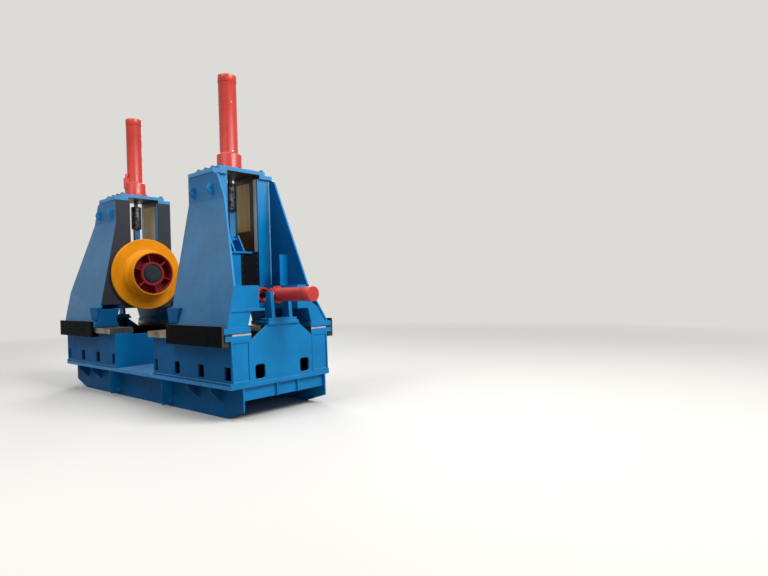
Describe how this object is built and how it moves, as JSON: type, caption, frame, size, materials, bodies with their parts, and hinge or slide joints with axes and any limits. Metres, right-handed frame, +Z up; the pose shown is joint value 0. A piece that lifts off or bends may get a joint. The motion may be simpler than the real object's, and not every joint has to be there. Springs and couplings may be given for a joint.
{
  "type": "twin-tower uncoiler stand",
  "caption": "Uncoiler stand: towers slide together on a cross bed, each guiding a lifting head with a flanged mandrel stub; red hydraulic cylinders lift the heads and traverse the towers.",
  "frame": {"origin": "on the floor under the middle of the cross bed", "axes": "+X downstream along the line, +Y across it to the far tower, +Z up"},
  "size_m": [1.662, 5.738, 4.3],
  "materials": {
    "blue": "semi-gloss enamel",
    "shade_blue": "semi-gloss enamel",
    "red": "gloss enamel",
    "yellow": "semi-gloss enamel",
    "maroon": "satin primer",
    "black": "satin",
    "dark_steel": "oiled",
    "slideway_steel": "ground, oiled"
  },
  "bodies": {
    "base": {"sub_web_entry": "shade_blue", "sub_web_exit": "shade_blue", "sub_deck": "shade_blue", "sub_cross_plates": "shade_blue", "girder_near_entry": "blue", "girder_near_exit": "blue", "girder_far_entry": "blue", "girder_far_exit": "blue", "bed_end_near": "blue", "bed_end_far": "blue", "rails_entry": "slideway_steel", "rails_exit": "slideway_steel", "bracket_near": "blue", "bracket_far": "blue", "traverse_barrel_near": "red", "traverse_barrel_far": "red"},
    "tower_near_body": {"uprights_near": "blue", "side_entry_near": "blue", "side_exit_near": "blue", "foot_box_near": "blue", "top_plate_near": "blue", "face_plates_near": "black", "keepers_near": "black", "lift_barrel_near": "red", "traverse_rod_near": "red"},
    "head_near_body": {"head_near": "blue", "lift_rod_near": "dark_steel"},
    "mandrel_near_body": {"coil_flange_near": "yellow", "spider_near": "maroon", "spindle_near": "dark_steel"},
    "tower_far_body": {"uprights_far": "blue", "side_entry_far": "blue", "side_exit_far": "blue", "foot_box_far": "blue", "top_plate_far": "blue", "face_plates_far": "black", "keepers_far": "black", "lift_barrel_far": "red", "traverse_rod_far": "red"},
    "head_far_body": {"head_far": "blue", "lift_rod_far": "dark_steel"},
    "mandrel_far_body": {"coil_flange_far": "yellow", "spider_far": "maroon", "spindle_far": "dark_steel"}
  },
  "joints": [
    {"name": "near_tower_slide", "type": "slide", "parent": "base", "child": "tower_near_body", "axis": [0, 1, 0], "range_m": [0, 0.45]},
    {"name": "near_head_lift", "type": "slide", "parent": "tower_near_body", "child": "head_near_body", "axis": [0, 0, 1], "range_m": [-0.2, 0.06]},
    {"name": "near_mandrel_spin", "type": "hinge", "parent": "head_near_body", "child": "mandrel_near_body", "pos_m": [0, -1, 1.79], "axis": [0, 1, 0], "continuous": true},
    {"name": "far_tower_slide", "type": "slide", "parent": "base", "child": "tower_far_body", "axis": [0, -1, 0], "range_m": [0, 0.45]},
    {"name": "far_head_lift", "type": "slide", "parent": "tower_far_body", "child": "head_far_body", "axis": [0, 0, 1], "range_m": [-0.2, 0.06]},
    {"name": "far_mandrel_spin", "type": "hinge", "parent": "head_far_body", "child": "mandrel_far_body", "pos_m": [0, 1, 1.79], "axis": [0, 1, 0], "continuous": true}
  ]
}
